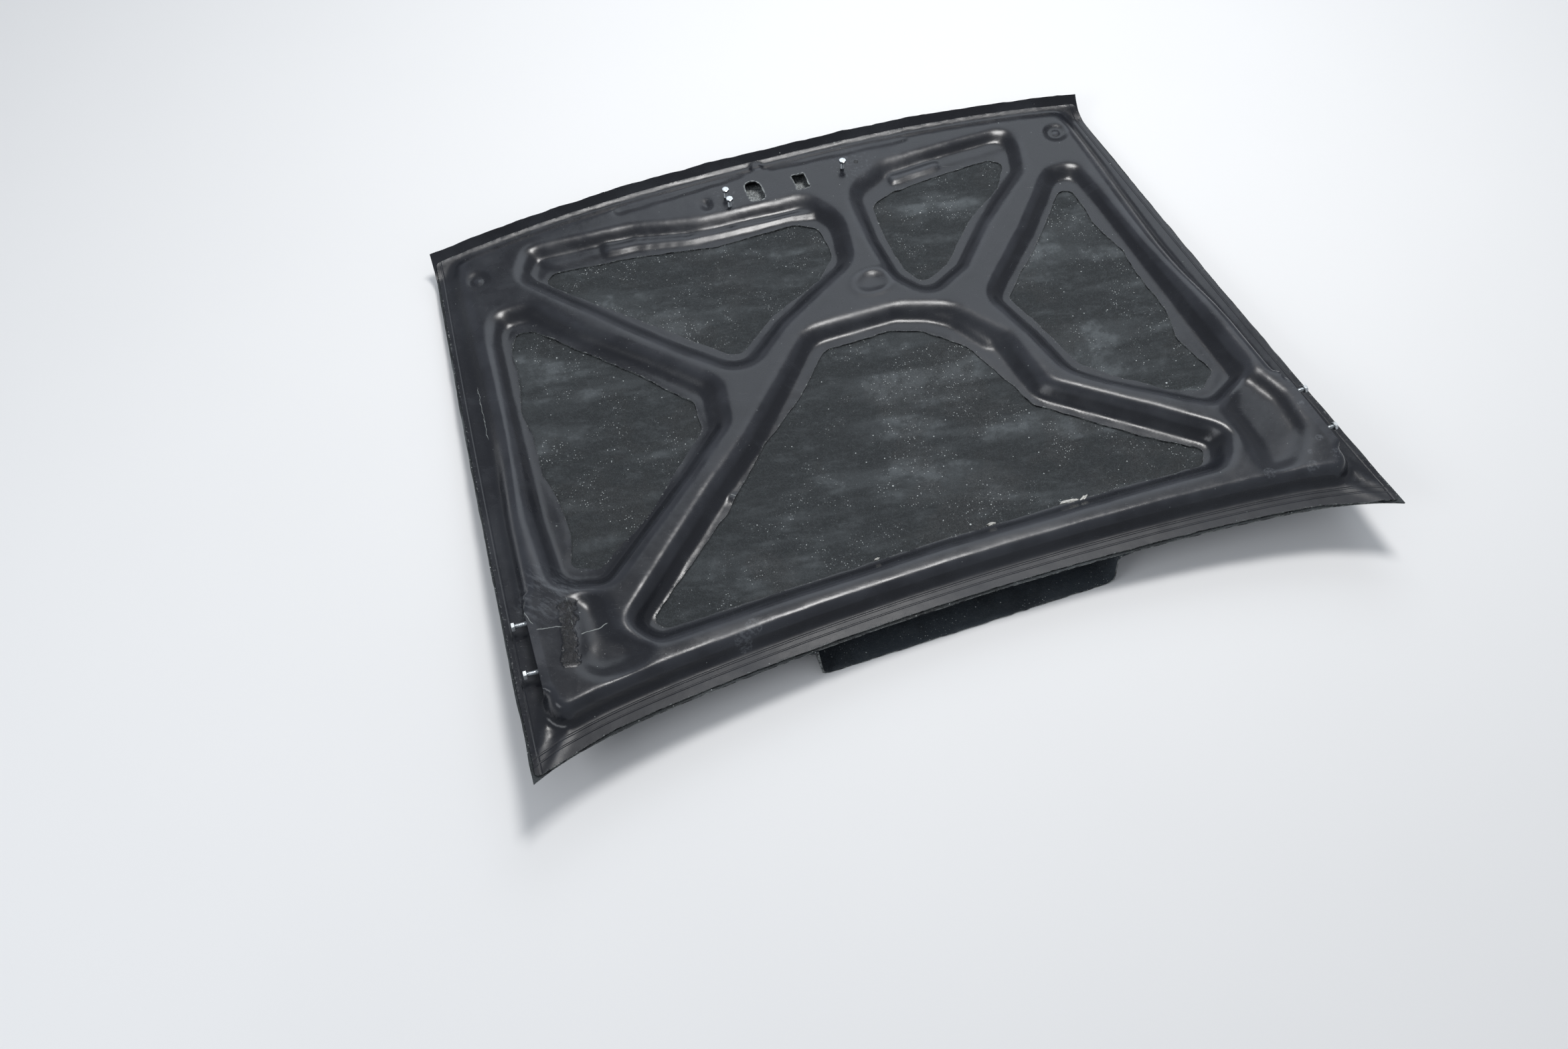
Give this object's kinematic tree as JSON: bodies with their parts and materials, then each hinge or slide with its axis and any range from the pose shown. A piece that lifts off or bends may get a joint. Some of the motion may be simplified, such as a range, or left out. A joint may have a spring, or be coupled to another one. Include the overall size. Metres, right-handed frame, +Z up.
{
  "type": "car bonnet",
  "caption": "Moulded fibreglass car bonnet shown from its inside, with a bonded inner frame, a rear-facing cowl scoop, and hinge and latch bolts.",
  "frame": {"origin": "on the ground under the middle of the bonnet, which lies upside down on the roof of its scoop and on the crown of its skin near the front edge", "axes": "+X across the car, towards the right of the picture; +Y towards the front edge of the bonnet; +Z up, out of the side that faces the engine"},
  "size_m": [1.45, 1.198, 0.1281],
  "materials": {
    "bare_laminate": "rough inner face of a glass-fibre laminate, dark greenish grey",
    "black_gelcoat": "satin black moulded glass fibre",
    "scoop_laminate": "satin blue-black moulded glass fibre",
    "zinc": "bright zinc plate",
    "plate_steel": "plain mild steel"
  },
  "bodies": {
    "root": {"outer_skin": "bare_laminate", "inner_frame": "black_gelcoat", "cowl_scoop": "scoop_laminate", "latch_plate_left": "plate_steel", "latch_plate_right": "plate_steel", "hinge_plate_left": "plate_steel", "hinge_plate_right": "plate_steel", "hinge_bolt_left_front": "zinc", "hinge_bolt_left_rear": "zinc", "hinge_bolt_right_front": "zinc", "hinge_bolt_right_rear": "zinc", "latch_bolt_left_front": "zinc", "latch_bolt_left_rear": "zinc", "latch_bolt_right": "zinc"}
  },
  "joints": []
}
